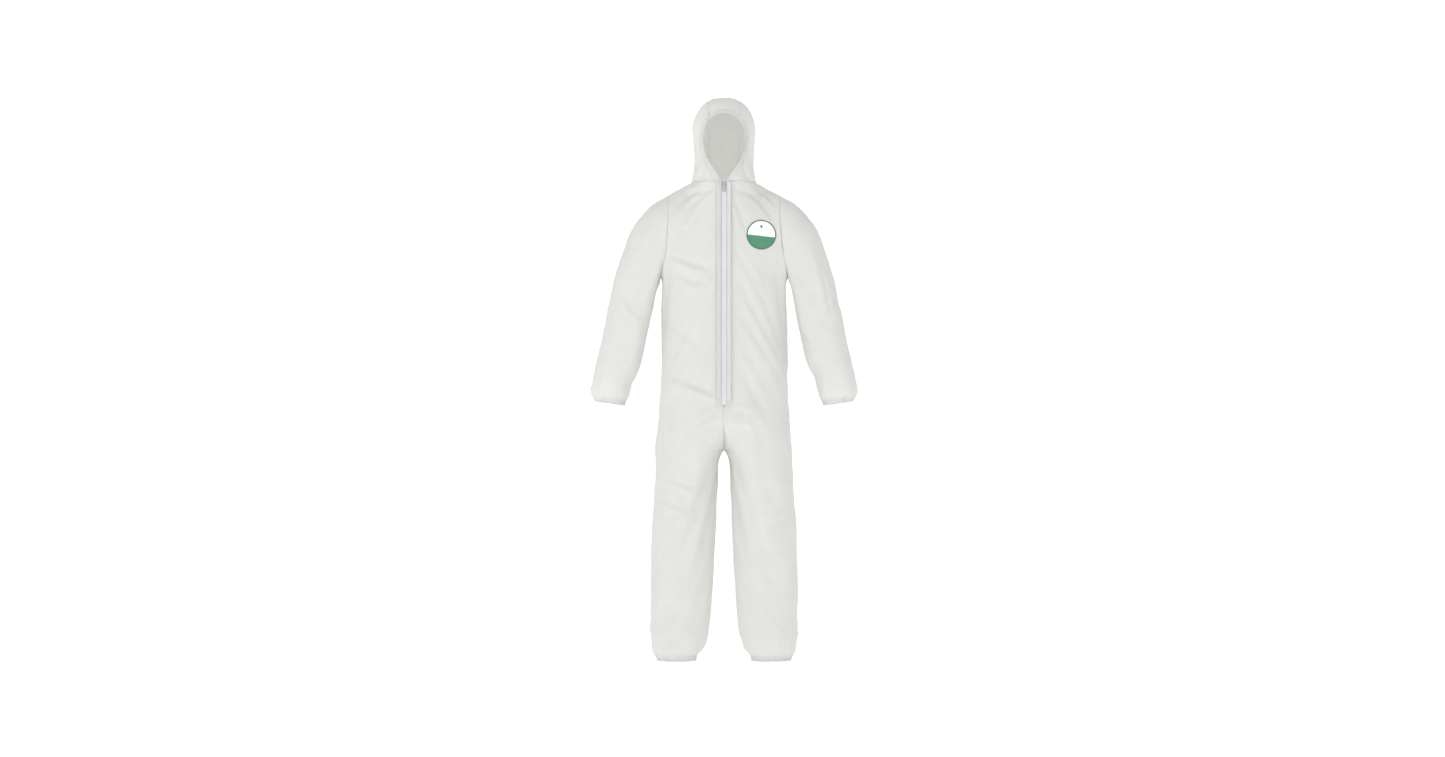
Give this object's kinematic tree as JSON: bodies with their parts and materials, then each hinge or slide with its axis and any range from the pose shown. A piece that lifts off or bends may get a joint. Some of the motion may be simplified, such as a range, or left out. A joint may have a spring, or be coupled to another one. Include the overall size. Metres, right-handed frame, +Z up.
{
  "type": "chemical protective suit",
  "caption": "Hooded one-piece protective coverall with set-in sleeves, a front zip, elasticated face opening, wrists and ankles, and a round blank chest label.",
  "frame": {"origin": "between the wearer's shoulders, midway between the armholes, 30 mm below the neck seam", "axes": "+Z up towards the hood's crown, -Y out of the suit's front, +X towards the wearer's left"},
  "size_m": [0.85, 0.2832, 1.802],
  "materials": {
    "suit_cloth": "matte white laminated nonwoven, softly creased",
    "elastic": "matte white braided elastic",
    "zip_tape": "matte cool white woven tape",
    "zip_nylon": "satin white nylon coil",
    "zip_slider": "satin light grey enamel",
    "chest_label": "satin printed label cloth, white over green",
    "care_label": "matte white satin ribbon"
  },
  "bodies": {
    "body": {"left_front_panel": "suit_cloth", "left_back_panel": "suit_cloth", "left_ankle_elastic": "elastic", "left_zip_tape": "zip_tape", "left_zip_coil": "zip_nylon", "left_zip_top_stop": "zip_nylon", "right_front_panel": "suit_cloth", "right_back_panel": "suit_cloth", "right_ankle_elastic": "elastic", "right_zip_tape": "zip_tape", "right_zip_coil": "zip_nylon", "right_zip_top_stop": "zip_nylon", "zip_bottom_stop": "zip_nylon", "chest_label": "chest_label", "care_label": "care_label"},
    "hood": {"hood_centre_panel": "suit_cloth", "hood_left_panel": "suit_cloth", "hood_right_panel": "suit_cloth", "face_elastic": "elastic"},
    "left_arm": {"left_sleeve": "suit_cloth", "left_wrist_elastic": "elastic"},
    "right_arm": {"right_sleeve": "suit_cloth", "right_wrist_elastic": "elastic"},
    "zip_slider": {"zip_slider_body": "zip_slider"},
    "zip_pull": {"zip_pull_tab": "zip_slider"}
  },
  "joints": [
    {"name": "hood_tilt", "type": "hinge", "parent": "body", "child": "hood", "pos_m": [0, 0.086, 0.0305], "axis": [-1, 0, 0], "range_deg": [0, 45]},
    {"name": "left_sleeve_raise", "type": "hinge", "parent": "body", "child": "left_arm", "pos_m": [0.1722, 0, -0.0098], "axis": [0, -1, 0], "range_deg": [0, 60]},
    {"name": "right_sleeve_raise", "type": "hinge", "parent": "body", "child": "right_arm", "pos_m": [-0.1722, 0, -0.0098], "axis": [0, 1, 0], "range_deg": [0, 60]},
    {"name": "zip_slide", "type": "slide", "parent": "body", "child": "zip_slider", "axis": [0, -0.0505, -0.9987], "range_m": [0, 0.69]},
    {"name": "zip_pull_swing", "type": "hinge", "parent": "zip_slider", "child": "zip_pull", "pos_m": [0, -0.10704, 0.01934], "axis": [-1, 0, 0], "range_deg": [0, 110]}
  ]
}
